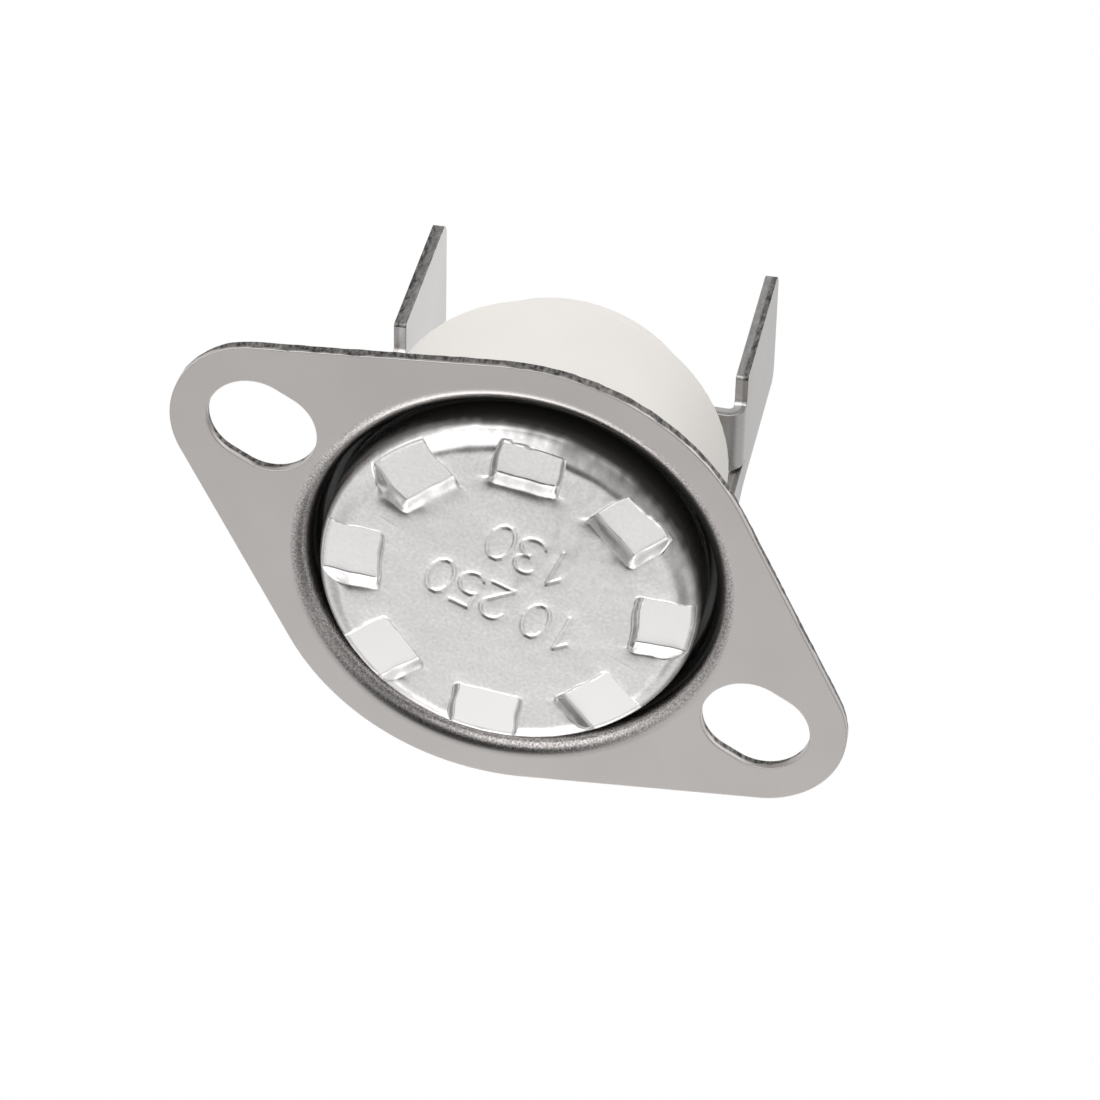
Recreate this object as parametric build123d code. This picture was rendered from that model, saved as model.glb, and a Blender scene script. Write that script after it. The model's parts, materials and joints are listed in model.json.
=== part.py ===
"""Snap disc temperature switch with a ceramic body and a loose two-hole bracket.

All sizes are in millimetres.  The origin is the middle of the sensing face, on which
the switch rests, +Z runs along its axis to the blade terminals, and X runs along the
bracket through its two slots.  The inside is set out along the terminal line, as if that
line were X, and is turned by terminal_angle at the end.
"""

from build123d import *
from math import acos, cos, sin
import os

# Bracket: a plate with two slots and a drawn collar that turns freely round the cap.
slot_spacing = 24.0
slot_width = 3.9
slot_length = 4.7
bracket_end_radius = 3.75
bracket_end_spacing = 24.2
bracket_middle_radius = 10.45
bracket_thickness = 0.5
bracket_height = 1.05
bracket_edge_radius = 0.1
collar_clearance = 0.45
collar_front_bend = 0.92
collar_top_bend = 0.7
ring_overlap = 0.3
ring_seat_clearance = 0.05

# Sensing cap: a drawn cup with pads pressed in round its face, rolled over the body's foot.
cap_radius = 8.0
cap_wall = 0.3
cap_edge_radius = 1.1
lip_bend_radius = 0.3
lip_overlap = 0.1
lip_seat_clearance = 0.02
pad_count = 8
pad_width = 2.8
pad_length = 2.0
pad_depth = 0.45
pad_rim_margin = 0.65
pad_corner_radius = 0.3
pad_side_wall = 0.2
cap_fit_clearance = 0.04

# Bimetal disc: shallow dome, hollow side up when cold.
disc_wall_clearance = 0.4
disc_thickness = 0.25
disc_dish = 0.18
disc_seat_clearance = 0.02
disc_rim_clearance = 0.06

# Guide plate over the disc, with a collar for the pin.
guide_rim_width = 1.1
guide_recess_depth = 0.4
guide_web_thickness = 0.5
guide_collar_radius = 2.0
guide_collar_height = 1.5

# Push pin.
pin_radius = 0.9
pin_running_clearance = 0.05
pin_play = 0.05
pin_tip_clearance = 0.02
pin_tip_radius = 0.3
pin_heel_radius = 0.1

# Ceramic body.
foot_height = 0.5
foot_step = 0.16
body_height = 10.55
body_edge_radius = 0.3
chamber_wall = 1.8
chamber_height = 7.95
boss_radius = 5.9
terminal_seat_height = 12.65
channel_depth = 0.5
channel_clearance = 0.1
boss_edge_radius = 0.2

# Terminals: flat blades bent up from riveted pads, each with a leg that hangs beside its neck.
terminal_angle = -30.0
terminal_thickness = 0.55
blade_width = 5.6
blade_tip_height = 22.0
blade_outer_offset = 7.7
blade_corner_radius = 0.6
shoulder_rise = 0.25
shoulder_fillet = 0.2
neck_width = 2.9
neck_shift = 0.25
neck_bend_radius = 0.2
leg_gap = 0.1
leg_flare = 0.6
leg_floor_clearance = 0.5
eye_radius = 2.2
rivet_offset = 3.5

# Rivets and washer.
rivet_radius = 0.8
rivet_clearance = 0.05
rivet_head_radius = 1.4
rivet_inner_head_height = 0.5
rivet_outer_head_height = 0.6
rivet_dimple_radius = 0.5
rivet_dimple_depth = 0.4
rivet_head_rounding = 0.2
washer_thickness = 0.3
washer_radius = 1.5

# Contacts: a sprung arm over a fixed plate, closed while the disc is cold.
arm_thickness = 0.15
arm_width = 2.6
arm_swing_clearance = 0.2
arm_hole_clearance = 0.2
arm_tail = 1.4
arm_root_reach = 1.9
arm_step_run = 0.8
arm_level = 7.25
arm_bend_radius = 0.35
arm_tip_overhang = 1.1
contact_offset = 3.3
contact_radius = 1.2
contact_height = 0.5
contact_shank_radius = 0.5
contact_shank_clearance = 0.02
contact_upset_radius = 0.8
contact_upset_height = 0.2
contact_gap = 0.02
plate_thickness = 0.4
plate_width = 2.4
plate_wall_clearance = 0.08
plate_bend_radius = 0.15
plate_tail = 1.3
plate_foot_overhang = 1.2

# Heights and radii that follow from the sizes above.
cap_inner_radius = cap_radius - cap_wall
pad_centre_radius = cap_radius - pad_rim_margin - pad_length / 2
pad_top = cap_wall + pad_depth
disc_radius = cap_inner_radius - disc_wall_clearance
seat_radius = pad_centre_radius - pad_length / 2 - pad_side_wall
disc_rise = disc_dish * (1 - (seat_radius / disc_radius) ** 2)
disc_rim_bottom = pad_top + disc_seat_clearance + disc_rise
disc_rim_top = disc_rim_bottom + disc_thickness
disc_centre_bottom = disc_rim_bottom - disc_dish
disc_centre_top = disc_centre_bottom + disc_thickness
guide_bottom = disc_rim_top + disc_rim_clearance
guide_radius = cap_inner_radius - cap_fit_clearance
guide_top = guide_bottom + guide_recess_depth + guide_web_thickness
foot_radius = cap_inner_radius - cap_fit_clearance
foot_top = guide_top + foot_height
body_radius = foot_radius - foot_step
lip_bottom = foot_top + lip_seat_clearance
lip_top = lip_bottom + cap_wall
lip_inner_radius = foot_radius - lip_overlap
ring_bottom = lip_top + ring_seat_clearance
ring_top = ring_bottom + bracket_thickness
ring_hole_radius = cap_radius - ring_overlap
collar_inner_radius = cap_radius + collar_clearance
collar_outer_radius = collar_inner_radius + bracket_thickness
bracket_top = bracket_height + bracket_thickness
chamber_radius = body_radius - chamber_wall
chamber_top = guide_top + chamber_height
boss_top = terminal_seat_height + channel_depth
terminal_top = terminal_seat_height + terminal_thickness
neck_outer_bend = neck_bend_radius + terminal_thickness
neck_start = terminal_seat_height + neck_outer_bend
shoulder_height = neck_start + shoulder_rise
leg_bottom = body_height + leg_floor_clearance
blade_inner_offset = blade_outer_offset - terminal_thickness
rivet_hole_radius = rivet_radius + rivet_clearance
pin_bottom = disc_centre_top + pin_play
pin_top = arm_level - pin_tip_clearance
arm_root_top = chamber_top - arm_swing_clearance
arm_root_middle = arm_root_top - arm_thickness / 2
washer_top = arm_root_top - arm_thickness - arm_swing_clearance
washer_bottom = washer_top - washer_thickness
plate_pad_bottom = chamber_top - plate_thickness
contact_plane = arm_level - contact_height
fixed_contact_bottom = contact_plane - contact_gap - contact_height
contact_hole_radius = contact_shank_radius + contact_shank_clearance
plate_half_width = plate_width / 2
plate_reach = ((chamber_radius - plate_wall_clearance) ** 2 - plate_half_width**2) ** 0.5

ON_FLOOR = (Align.CENTER, Align.CENTER, Align.MIN)
HEIGHT_TOLERANCE = 0.001


def drum(radius, bottom, top, x=0.0):
    """A plain upright cylinder between two heights, at a place on the X axis."""
    return Pos(x, 0, bottom) * Cylinder(radius, top - bottom, align=ON_FLOOR)


def rounded(solid, height, radius):
    """The solid with its round edges at one height filleted."""
    lowest = height - HEIGHT_TOLERANCE
    highest = height + HEIGHT_TOLERANCE
    rims = solid.edges().filter_by(GeomType.CIRCLE).filter_by_position(Axis.Z, lowest, highest)
    return fillet(rims, radius)


def soften(section, points_and_radii):
    """The flat section with the corners nearest to the given points rounded."""
    for x, y, radius in points_and_radii:
        nearest = min(section.vertices(), key=lambda vertex: (Vector(x, y, 0) - Vector(vertex)).length)
        section = fillet(nearest, radius)
    return section


def turned(section):
    """A section in radius and height, turned about the Z axis."""
    return revolve(Plane.XZ * section, Axis.Z)


def bent_strip(section, width):
    """A side view in X and Z, given its width across the terminal line."""
    return extrude(Plane.XZ * section, width / 2, both=True)


def bracket_outline():
    """The diamond outline: two end arcs and two middle arcs joined by tangent lines."""
    end_offset = bracket_end_spacing / 2
    tangent = acos((bracket_middle_radius - bracket_end_radius) / end_offset)
    across, up = cos(tangent), sin(tangent)
    middle = (bracket_middle_radius * across, bracket_middle_radius * up)
    end = (end_offset + bracket_end_radius * across, bracket_end_radius * up)
    tip = end_offset + bracket_end_radius
    outline = [
        ThreePointArc(middle, (0, bracket_middle_radius), (-middle[0], middle[1])),
        Line((-middle[0], middle[1]), (-end[0], end[1])),
        ThreePointArc((-end[0], end[1]), (-tip, 0), (-end[0], -end[1])),
        Line((-end[0], -end[1]), (-middle[0], -middle[1])),
        ThreePointArc((-middle[0], -middle[1]), (0, -bracket_middle_radius), (middle[0], -middle[1])),
        Line((middle[0], -middle[1]), (end[0], -end[1])),
        ThreePointArc((end[0], -end[1]), (tip, 0), end),
        Line(end, middle),
    ]
    return make_face(outline)


def mounting_bracket():
    """Plate, two slots, and the collar drawn up and turned in over the cap's lip."""
    plate = Pos(0, 0, bracket_height) * extrude(bracket_outline(), bracket_thickness)
    plate = fillet(plate.faces().sort_by(Axis.Z)[0].outer_wire().edges(), bracket_edge_radius)
    flat_radius = collar_inner_radius + collar_front_bend
    overlap_radius = (flat_radius + bracket_middle_radius) / 2
    plate -= drum(flat_radius, bracket_height, bracket_top)
    corners = [
        (ring_hole_radius, ring_bottom),
        (collar_inner_radius, ring_bottom),
        (collar_inner_radius, bracket_height),
        (overlap_radius, bracket_height),
        (overlap_radius, bracket_top),
        (collar_outer_radius, bracket_top),
        (collar_outer_radius, ring_top),
        (ring_hole_radius, ring_top),
    ]
    section = soften(
        make_face(Polyline(*corners, close=True)),
        [
            (collar_inner_radius, bracket_height, collar_front_bend),
            (collar_outer_radius, bracket_top, collar_front_bend - bracket_thickness),
            (collar_inner_radius, ring_bottom, collar_top_bend - bracket_thickness),
            (collar_outer_radius, ring_top, collar_top_bend),
        ],
    )
    bracket = plate + turned(section)
    slot = extrude(SlotOverall(slot_length, slot_width), bracket_thickness)
    for side in (-1, 1):
        bracket -= Pos(side * slot_spacing / 2, 0, bracket_height) * slot
    return bracket


def pad_block(grow, bottom, top):
    """One rounded block of a pressed pad, grown by the same amount on every side."""
    plan = RectangleRounded(pad_length + 2 * grow, pad_width + 2 * grow, pad_corner_radius + grow)
    return Pos(0, 0, bottom) * extrude(plan, top - bottom)


def sensing_cap():
    """Drawn cup whose pressed pads make ledges inside for the disc's rim."""
    cup = drum(cap_radius, 0, lip_top)
    cup = rounded(cup, 0, cap_edge_radius)
    cup = rounded(cup, lip_top, lip_bend_radius)
    hollow = drum(cap_inner_radius, cap_wall, lip_bottom)
    hollow = rounded(hollow, cap_wall, cap_edge_radius - cap_wall)
    cup -= hollow
    cup -= drum(lip_inner_radius, lip_bottom, lip_top)
    half_pitch = 180.0 / pad_count
    for place in PolarLocations(pad_centre_radius, pad_count, start_angle=half_pitch):
        cup += place * pad_block(pad_side_wall, cap_wall / 2, pad_top)
    for place in PolarLocations(pad_centre_radius, pad_count, start_angle=half_pitch):
        cup -= place * pad_block(0, 0, pad_depth)
    return cup


def bimetal_disc():
    """Thin dome, lowest in the middle, turned from a section between two arcs."""
    section = make_face(
        [
            TangentArc((0, disc_centre_bottom), (disc_radius, disc_rim_bottom), tangent=(1, 0)),
            Line((disc_radius, disc_rim_bottom), (disc_radius, disc_rim_top)),
            TangentArc((0, disc_centre_top), (disc_radius, disc_rim_top), tangent=(1, 0)),
            Line((0, disc_centre_top), (0, disc_centre_bottom)),
        ]
    )
    return turned(section)


def guide_plate():
    """Ceramic plate with a recess over the disc and a collar that guides the pin."""
    plate = drum(guide_radius, guide_bottom, guide_top)
    plate += drum(guide_collar_radius, guide_top, guide_top + guide_collar_height)
    plate -= drum(guide_radius - guide_rim_width, guide_bottom, guide_bottom + guide_recess_depth)
    plate -= drum(pin_radius + pin_running_clearance, guide_bottom, guide_top + guide_collar_height)
    return plate


def push_pin():
    """Ceramic pin between the disc and the arm, with a rounded tip."""
    pin = drum(pin_radius, pin_bottom, pin_top)
    pin = rounded(pin, pin_top, pin_tip_radius)
    return rounded(pin, pin_bottom, pin_heel_radius)


def terminal_plan(grow, shift):
    """Plan of a terminal's pad: a round eye that runs out as a straight strip, shifted to one side."""
    strip_length = blade_outer_offset - rivet_offset
    strip = Pos(rivet_offset + strip_length / 2, shift) * Rectangle(strip_length, neck_width + 2 * grow)
    eye = Pos(rivet_offset, 0) * Circle(eye_radius + grow)
    return eye + strip


def ceramic_body():
    """Cup over the contacts, with a foot for the cap's lip and a boss for the terminals."""
    body = drum(body_radius, guide_top, body_height)
    body = rounded(body, body_height, body_edge_radius)
    body += drum(foot_radius, guide_top, foot_top)
    boss = drum(boss_radius, body_height - body_edge_radius, boss_top)
    body += rounded(boss, boss_top, boss_edge_radius)
    body -= drum(chamber_radius, guide_top, chamber_top)
    channel = Pos(0, 0, terminal_seat_height) * extrude(terminal_plan(channel_clearance, neck_shift), channel_depth)
    rivet_hole = drum(rivet_hole_radius, chamber_top, terminal_seat_height, rivet_offset)
    for side in (0, 180):
        body -= Rot(0, 0, side) * channel
        body -= Rot(0, 0, side) * rivet_hole
    return body


def blade_terminal(shift):
    """Pad with an eye, neck bent up through a right angle, and a flat blade.

    The neck and the blade stand beside the rivet's line by the shift.  The blade has a shoulder
    on one side of the neck.  On the other side it runs on down as a leg, which stays flat
    beside the bend and widens towards its foot.
    """
    inner_end = rivet_offset - eye_radius
    corners = [
        (inner_end, terminal_seat_height),
        (blade_outer_offset, terminal_seat_height),
        (blade_outer_offset, shoulder_height),
        (blade_inner_offset, shoulder_height),
        (blade_inner_offset, terminal_top),
        (inner_end, terminal_top),
    ]
    side_view = soften(
        make_face(Polyline(*corners, close=True)),
        [
            (blade_outer_offset, terminal_seat_height, neck_outer_bend),
            (blade_inner_offset, terminal_top, neck_bend_radius),
        ],
    )
    rise = shoulder_height - terminal_seat_height
    plan = Pos(0, 0, terminal_seat_height) * extrude(terminal_plan(0, shift), rise)
    pad = bent_strip(side_view, 2 * eye_radius) & plan
    pad -= drum(rivet_hole_radius, terminal_seat_height, terminal_top, rivet_offset)
    half_blade = blade_width / 2
    half_neck = neck_width / 2
    leg_start = half_neck + leg_gap
    leg_end = half_blade + leg_flare
    front = [
        (-half_neck, neck_start),
        (half_neck, neck_start),
        (half_neck, shoulder_height),
        (leg_start, shoulder_height),
        (leg_start, leg_bottom),
        (leg_end, leg_bottom),
        (half_blade, shoulder_height),
        (half_blade, blade_tip_height),
        (-half_blade, blade_tip_height),
        (-half_blade, shoulder_height),
        (-half_neck, shoulder_height),
    ]
    front_view = soften(
        make_face(Polyline(*front, close=True)),
        [
            (half_blade, blade_tip_height, blade_corner_radius),
            (-half_blade, blade_tip_height, blade_corner_radius),
            (-half_neck, shoulder_height, shoulder_fillet),
        ],
    )
    blade = extrude(Plane.YZ * front_view, terminal_thickness)
    return pad + Pos(blade_inner_offset, shift, 0) * blade


def rivet(x, head_top):
    """Rivet through the body: a flat head inside, a rolled and dimpled head outside."""
    outer_top = terminal_top + rivet_outer_head_height
    inner_bottom = head_top - rivet_inner_head_height
    outer_head = drum(rivet_head_radius, terminal_top, outer_top, x)
    outer_head = rounded(outer_head, outer_top, rivet_head_rounding)
    outer_head -= drum(rivet_dimple_radius, outer_top - rivet_dimple_depth, outer_top, x)
    inner_head = drum(rivet_head_radius, inner_bottom, head_top, x)
    inner_head = rounded(inner_head, inner_bottom, rivet_head_rounding)
    return drum(rivet_radius, inner_bottom, terminal_top, x) + outer_head + inner_head


def arm_washer():
    """Plain washer between the arm's root and the rivet's inner head."""
    washer = drum(washer_radius, washer_bottom, washer_top, -rivet_offset)
    return washer - drum(rivet_hole_radius, washer_bottom, washer_top, -rivet_offset)


def strip_section(points, thickness, bend_radius):
    """Side view of a bent strip: a path with rounded bends, given its thickness."""
    path = FilletPolyline(*points, radius=bend_radius)
    return trace(path, line_width=thickness)


def contact_arm():
    """Sprung strip: root on the rivet, a step down, and a level run to the contact."""
    run_height = arm_level + arm_thickness / 2
    root_end = arm_root_reach - rivet_offset
    points = [
        (-rivet_offset - arm_tail, arm_root_middle),
        (root_end, arm_root_middle),
        (root_end + arm_step_run, run_height),
        (contact_offset + arm_tip_overhang, run_height),
    ]
    arm = bent_strip(strip_section(points, arm_thickness, arm_bend_radius), arm_width)
    arm -= drum(rivet_radius + arm_hole_clearance, washer_top, chamber_top, -rivet_offset)
    return arm - drum(contact_hole_radius, contact_plane, plate_pad_bottom, contact_offset)


def contact_button(face, back, strip_back):
    """Contact rivet: a button on one side of its strip and an upset end on the other."""
    sign = 1 if back > face else -1
    upset_end = strip_back + sign * contact_upset_height
    stages = [
        (contact_radius, face, back),
        (contact_shank_radius, face, upset_end),
        (contact_upset_radius, strip_back, upset_end),
    ]
    return sum((drum(radius, min(ends), max(ends), contact_offset) for radius, *ends in stages), Part())


def moving_contact():
    """Silver contact under the tip of the arm."""
    return contact_button(contact_plane, arm_level, arm_level + arm_thickness)


def fixed_contact():
    """Silver contact on the foot of the fixed plate."""
    face = contact_plane - contact_gap
    return contact_button(face, fixed_contact_bottom, fixed_contact_bottom - plate_thickness)


def fixed_plate():
    """Strip riveted under the chamber's roof, with a leg down and a foot under the arm."""
    middle = plate_thickness / 2
    points = [
        (rivet_offset - plate_tail, chamber_top - middle),
        (plate_reach - middle, chamber_top - middle),
        (plate_reach - middle, fixed_contact_bottom - middle),
        (contact_offset - plate_foot_overhang, fixed_contact_bottom - middle),
    ]
    plate = bent_strip(strip_section(points, plate_thickness, plate_bend_radius + middle), plate_width)
    plate -= drum(rivet_hole_radius, plate_pad_bottom, chamber_top, rivet_offset)
    foot_bottom = fixed_contact_bottom - plate_thickness
    return plate - drum(contact_hole_radius, foot_bottom, fixed_contact_bottom, contact_offset)


straight = {
    "mounting_bracket": mounting_bracket(),
    "sensing_cap": sensing_cap(),
    "bimetal_disc": bimetal_disc(),
    "guide_plate": guide_plate(),
    "push_pin": push_pin(),
}
along_terminals = {
    "ceramic_body": ceramic_body(),
    "terminal_arm_side": mirror(blade_terminal(-neck_shift), about=Plane.YZ),
    "terminal_plate_side": blade_terminal(neck_shift),
    "rivet_arm_side": rivet(-rivet_offset, washer_bottom),
    "rivet_plate_side": rivet(rivet_offset, plate_pad_bottom),
    "arm_washer": arm_washer(),
    "contact_arm": contact_arm(),
    "moving_contact": moving_contact(),
    "fixed_plate": fixed_plate(),
    "fixed_contact": fixed_contact(),
}

os.makedirs("parts", exist_ok=True)
for name, solid in straight.items():
    export_step(solid, f"parts/{name}.step")
for name, solid in along_terminals.items():
    export_step(Rot(0, 0, terminal_angle) * solid, f"parts/{name}.step")
print("arm pivot height", round(arm_root_middle, 4), "arm level", arm_level)
print("pin travel", round(2 * disc_dish - pin_play, 4))
print("bracket length", 2 * bracket_end_radius + bracket_end_spacing)
print("disc rim top", round(disc_rim_top, 4), "collar top", round(ring_top, 4))
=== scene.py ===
"""Looks of a snap disc temperature switch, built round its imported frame.

The file is laid out as an add-on and is run as a script. Everything is in metres, in the frame of the
CAD model: the origin is the middle of the sensing face, +Z runs to the terminals, and X runs along the
bracket. New pieces are surfaces computed with numpy, and each function says its formula in words.
"""

import json
import math

import bpy
import numpy as np
from bpy.props import FloatProperty, FloatVectorProperty, IntProperty, PointerProperty
from bpy.types import Operator, Panel, PropertyGroup
from mathutils import Matrix, Vector
from mathutils.geometry import delaunay_2d_cdt


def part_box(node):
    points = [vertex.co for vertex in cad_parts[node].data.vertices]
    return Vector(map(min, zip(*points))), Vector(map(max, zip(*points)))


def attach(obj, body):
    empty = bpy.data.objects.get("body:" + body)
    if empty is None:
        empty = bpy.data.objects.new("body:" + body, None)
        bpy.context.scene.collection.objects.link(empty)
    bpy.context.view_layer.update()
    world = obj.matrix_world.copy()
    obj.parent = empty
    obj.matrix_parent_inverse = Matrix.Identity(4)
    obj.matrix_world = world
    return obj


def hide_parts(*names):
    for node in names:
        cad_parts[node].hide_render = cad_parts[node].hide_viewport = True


bl_info = {
    "name": "Snap disc switch",
    "version": (1, 0, 0),
    "blender": (4, 5, 0),
    "location": "View3D > Sidebar > Switch",
    "description": "Builds the pieces, finishes and studio of a snap disc temperature switch",
    "category": "Add Mesh",
}

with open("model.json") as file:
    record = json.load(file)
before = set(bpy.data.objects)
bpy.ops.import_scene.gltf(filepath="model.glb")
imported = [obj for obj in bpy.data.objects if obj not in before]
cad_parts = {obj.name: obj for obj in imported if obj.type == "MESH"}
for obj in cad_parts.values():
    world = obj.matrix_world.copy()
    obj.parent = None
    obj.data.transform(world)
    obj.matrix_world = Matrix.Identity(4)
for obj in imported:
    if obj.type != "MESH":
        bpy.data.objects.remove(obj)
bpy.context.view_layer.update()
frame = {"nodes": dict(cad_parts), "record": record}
MM = 0.001

BRACKET_LOW, BRACKET_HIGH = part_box("mounting_bracket")
CAP_LOW, CAP_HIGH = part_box("sensing_cap")
RIVET_LOW, RIVET_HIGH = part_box("rivet_plate_side")
BLADE_LOW, BLADE_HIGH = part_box("terminal_plate_side")
ARM_RIVET_LOW, ARM_RIVET_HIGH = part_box("rivet_arm_side")
MOUNTS = {mount["name"]: mount for mount in frame["record"]["mounts"]}
SLOTS = MOUNTS["bracket_slots"]["dims"]
BLADE_PLACE = Vector(MOUNTS["terminal_plate_side"]["pos_m"]).to_2d()
RIVET_PLACE = (RIVET_LOW + RIVET_HIGH).to_2d() / 2
TERMINAL_ANGLE = math.atan2(RIVET_PLACE.y, RIVET_PLACE.x)
SQUARE = ((1, -1), (1, 1), (-1, 1), (-1, -1))  # corners, anticlockwise

# Sides of the switch in degrees from +X: where the press left its marks, where painted shade and a painted
# highlight fall on the collar and cap, and where painted light falls on the pocket floors
TORN_SIDE, SMOOTH_SIDE, POLISHED_HIGHLIGHT_SIDE, SHADED_SIDE, DARKEST_SHADE_SIDE = -105, 60, 238, 285, 298
BEATEN_SIDE, SAGGING_SIDE, SHORT_SIDE, LIT_FLOOR_SIDE = 232, 240, 262, 51


def linear(hex_colour):
    """Linear red, green and blue of an sRGB colour written as six hex digits."""
    parts = [int(hex_colour[place : place + 2], 16) / 255 for place in (1, 3, 5)]
    return [part / 12.92 if part <= 0.04045 else ((part + 0.055) / 1.055) ** 2.4 for part in parts]


def opaque(colour):
    """The colour with full opacity, as colour sockets take it."""
    return (*colour, 1.0)


def size_property(name, description, millimetres):
    """A length that a user can change, with its default in millimetres."""
    return FloatProperty(name=name, description=description, default=millimetres * MM, unit="LENGTH")


def colour_property(name, description, colour):
    """A colour that a user can change."""
    return FloatVectorProperty(name=name, description=description, default=linear(colour), subtype="COLOR")


class SWITCH_PG_bracket(PropertyGroup):
    """Sizes of the bracket that its box doesn't give."""

    thickness: size_property("Thickness", "Steel sheet", 0.5)
    end_radius: size_property("End radius", "Round ends of the plate", 3.75)
    collar_gap: size_property("Collar gap", "Air between the cap and the collar", 0.45)
    front_bend: size_property("Front bend", "Bend radius from plate to collar", 0.92)
    back_bend: size_property("Back bend", "Bend radius of the turned-in rim", 0.7)
    hole_radius: size_property("Rim hole", "Radius of the hole in the rim", 7.7)


class SWITCH_PG_cap(PropertyGroup):
    """Sizes of the sensing cap and of what is pressed into its face."""

    wall: size_property("Wall", "Aluminium wall", 0.3)
    rim_radius: size_property("Rim radius", "Round edge of the face", 1.1)
    lip_hole: size_property("Lip hole", "Radius inside the rolled lip", 7.56)
    pocket_count: IntProperty(name="Pockets", description="Pockets round the face", default=8, min=1)
    pocket_width: size_property("Pocket width", "Size along the rim", 2.85)
    pocket_length: size_property("Pocket length", "Size along the radius", 2.7)
    pocket_depth: size_property("Pocket depth", "How far it is pressed in", 0.45)
    pocket_place: size_property("Pocket place", "Radius of the pockets' middles", 6.65)
    pocket_slope: size_property("Pocket slope", "Plan width of its leaning walls", 0.24)
    number_height: size_property("Number height", "Height of the stamped digits", 1.85)


class SWITCH_PG_terminal(PropertyGroup):
    """Sizes of the blade terminals and rivets."""

    thickness: size_property("Thickness", "Blade strip", 0.55)
    blade_width: size_property("Blade width", "Width of the blade", 5.6)
    neck_width: size_property("Neck width", "Width of the bent neck", 2.9)
    neck_bend: size_property("Neck bend", "Inner radius of the bend", 0.2)
    shoulder_rise: size_property("Shoulder rise", "Shoulder above the bend", 0.25)
    leg_gap: size_property("Leg gap", "Lance between neck and leg", 0.1)
    leg_flare: size_property("Leg flare", "Widening of the leg's foot", 0.6)
    tip_corner: size_property("Tip corner", "Round corners of the tip", 0.6)
    eye_radius: size_property("Eye radius", "Round pad under the rivet", 2.2)
    rivet_radius: size_property("Rivet radius", "Shank of the rivet", 0.8)
    rivet_head: size_property("Rivet head", "Height of the outer head", 0.6)


class SWITCH_PG_finish(PropertyGroup):
    """Colours of the finishes."""

    plate: colour_property("Plate", "Nickel on the bracket", "#B6B2B0")
    sheared: colour_property("Sheared edge", "Torn steel", "#5C5A58")
    aluminium: colour_property("Aluminium", "Face of the cap", "#D6D4D3")
    # The floors' lighter colour is burnished metal, and partly painted light
    coined: colour_property("Coined", "Floors of the pockets", "#EBEAE9")
    ceramic: colour_property("Ceramic", "Fired steatite", "#F0ECE7")
    # The blades' inside and outside colours are one nickel, lit and shaded: painted light
    blade_inside_lit: colour_property("Blade inside", "Face towards the body", "#CBC9C8")
    blade_outside_shaded: colour_property("Blade outside", "Face away from the body", "#A6A4A2")
    rivet: colour_property("Rivet", "Nickel plated brass", "#C9C4B8")
    # The matt dark colour laid on as painted shade in the collar's gap and on the cap
    painted_shade_colour: colour_property("Grime", "Press grime in the collar and on the cap", "#3E3C3A")


class SWITCH_PG_studio(PropertyGroup):
    """Camera and light."""

    camera_place: FloatVectorProperty(
        name="Camera place",
        description="Where the camera stands, below and before the switch",
        subtype="TRANSLATION",
        unit="LENGTH",
        default=(-35.24 * MM, -122.39 * MM, -159.17 * MM),
    )
    camera_forward: FloatVectorProperty(
        name="Camera forward",
        description="Viewing direction",
        subtype="DIRECTION",
        default=(0.17592, 0.59051, 0.78762),
    )
    camera_up: FloatVectorProperty(
        name="Camera up",
        description="Upper side of the picture",
        subtype="DIRECTION",
        default=(-0.51272, -0.62804, 0.58539),
    )
    lens: FloatProperty(name="Lens", description="Focal length on a 36 mm sensor", default=163.64, min=1.0)
    fill_level: FloatProperty(name="Fill", description="Level of the soft light", default=0.52, min=0.0)


def smooth_step(value):
    """Rises from 0 at 0 to 1 at 1 as 3 v^2 - 2 v^3, and is level outside."""
    held = np.clip(value, 0, 1)
    return held * held * (3 - 2 * held)


def eased_ramp(value, start_ease, end_ease):
    """Rises from 0 at 0 to 1 at 1 in a straight line, with a parabola of this half width at each end."""
    start, end = (
        np.where(part < -ease, 0, np.where(part > ease, part, (part + ease) ** 2 / (4 * ease)))
        for part, ease in ((value, start_ease), (value - 1, max(end_ease, 1e-9)))
    )
    return start - end


def facing_share(points, side):
    """How near a point's angle is to a side in degrees, from 0 to 1: 0.5 + 0.5 cos of the angle between."""
    around = np.arctan2(points[:, 1], points[:, 0])
    return 0.5 + 0.5 * np.cos(around - math.radians(side))


def hash_noise(points, size, seed):
    """Smooth noise from about -1 to 1 with features of this size: sines in seeded directions, summed."""
    draw = np.random.default_rng(seed)
    total = np.zeros(len(points))
    waves = 24
    for _ in range(waves):
        direction = draw.normal(size=3)
        direction *= 2 * math.pi / (size * np.linalg.norm(direction) * draw.uniform(0.8, 2.2))
        total += np.sin(points @ direction + draw.uniform(0, 2 * math.pi))
    return total / math.sqrt(waves)


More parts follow.
